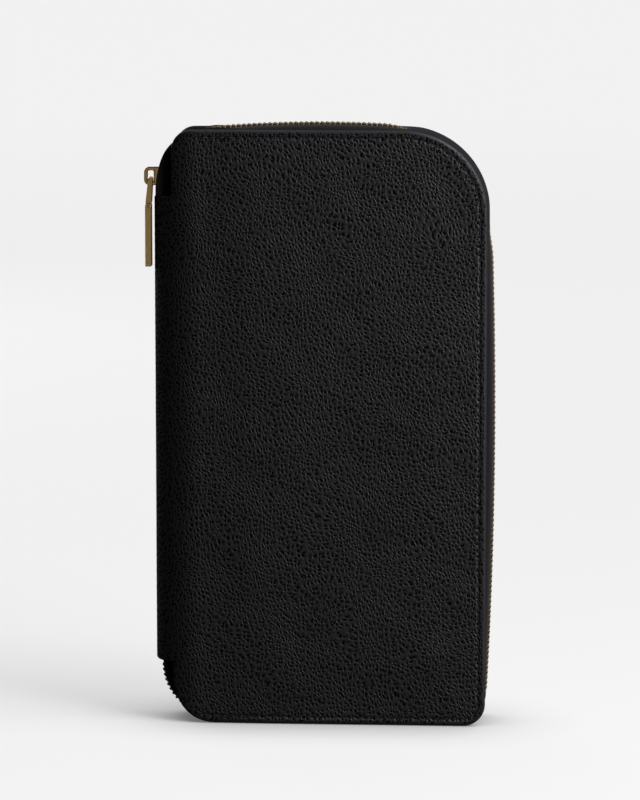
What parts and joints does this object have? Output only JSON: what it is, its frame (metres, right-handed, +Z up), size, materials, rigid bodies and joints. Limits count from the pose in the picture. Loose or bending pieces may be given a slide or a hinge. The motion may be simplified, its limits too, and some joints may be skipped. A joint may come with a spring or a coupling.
{
  "type": "travel document organizer",
  "caption": "Upright zip-around travel organizer in pebbled black leather, with a gold-coloured zip and pockets for a passport, boarding pass and cards.",
  "frame": {"origin": "on the ground under the middle of the closed organizer", "axes": "+Z up, -Y out of the front cover, +X towards the free edge, -X towards the spine"},
  "size_m": [0.1349, 0.024, 0.2329],
  "materials": {
    "outer_leather": "pebbled black leather, satin, with a turned edge",
    "pocket_leather": "thin black leather with a fine grain",
    "lining": "black twill lining",
    "zip_tape": "black woven zip tape",
    "thread": "waxed black thread",
    "foam": "grey foam sheet",
    "board": "grey-brown bonded board",
    "gold_metal": "polished gold-coloured plating"
  },
  "bodies": {
    "rear_cover": {"rear_leather": "outer_leather", "rear_padding": "foam", "rear_board": "board", "rear_lining": "lining", "rear_zip_tape": "zip_tape", "rear_zip_teeth": "gold_metal", "rear_edge_stitching": "thread", "rear_slip_pocket": "pocket_leather", "passport_pocket": "pocket_leather", "zip_pocket_panel": "pocket_leather", "zip_pocket_tapes": "zip_tape", "zip_pocket_teeth": "gold_metal", "zip_pocket_stops": "gold_metal"},
    "spine": {"spine_leather": "outer_leather", "spine_stiffener": "board", "spine_lining": "lining", "top_end_tapes": "zip_tape", "bottom_end_tapes": "zip_tape", "top_end_teeth": "gold_metal", "bottom_end_teeth": "gold_metal", "top_stops": "gold_metal", "bottom_stop": "gold_metal"},
    "front_cover": {"front_leather": "outer_leather", "front_padding": "foam", "front_board": "board", "front_lining": "lining", "front_zip_tape": "zip_tape", "front_zip_teeth": "gold_metal", "front_edge_stitching": "thread", "boarding_pass_pocket": "pocket_leather", "card_backing": "pocket_leather", "card_slot_1": "pocket_leather", "card_slot_2": "pocket_leather", "card_slot_3": "pocket_leather", "card_slot_4": "pocket_leather", "card_slot_5": "pocket_leather"},
    "zip_slider": {"slider_body": "gold_metal", "slider_crown": "gold_metal"},
    "zip_pull": {"pull_link": "gold_metal"},
    "zip_pull_bar": {"pull_bar": "gold_metal", "pull_pin": "gold_metal"},
    "pocket_slider": {"inner_slider": "gold_metal"},
    "pocket_pull": {"inner_pull": "gold_metal"}
  },
  "joints": [
    {"name": "spine_fold", "type": "hinge", "parent": "rear_cover", "child": "spine", "pos_m": [-0.0575, 0.00923, 0.115], "axis": [0, 0, -1], "range_deg": [0, 90]},
    {"name": "front_fold", "type": "hinge", "parent": "spine", "child": "front_cover", "pos_m": [-0.0575, -0.00923, 0.115], "axis": [0, 0, -1], "range_deg": [0, 90]},
    {"name": "zip_travel", "type": "hinge", "parent": "spine", "child": "zip_slider", "pos_m": [-0.0367, 0, 0.20623], "axis": [0, 1, 0], "range_deg": [0, 20], "deforming": ["top_end_teeth"]},
    {"name": "pull_swing", "type": "hinge", "parent": "zip_slider", "child": "zip_pull", "pos_m": [-0.0654, 0, 0.2103], "axis": [0, 1, 0], "range_deg": [0, 170]},
    {"name": "pull_bar_swing", "type": "hinge", "parent": "zip_pull", "child": "zip_pull_bar", "pos_m": [-0.0663, 0, 0.2], "axis": [0, 1, 0], "range_deg": [0, 90]},
    {"name": "pocket_zip_travel", "type": "slide", "parent": "rear_cover", "child": "pocket_slider", "axis": [1, 0, 0], "range_m": [0, 0.074], "deforming": ["zip_pocket_teeth"]},
    {"name": "pocket_pull_swing", "type": "hinge", "parent": "pocket_slider", "child": "pocket_pull", "pos_m": [-0.029, 0.0021, 0.193], "axis": [0, 0, -1], "range_deg": [0, 170]}
  ],
  "couplings": [
    {"joint": "front_fold", "follows": "spine_fold", "ratio": 1}
  ]
}
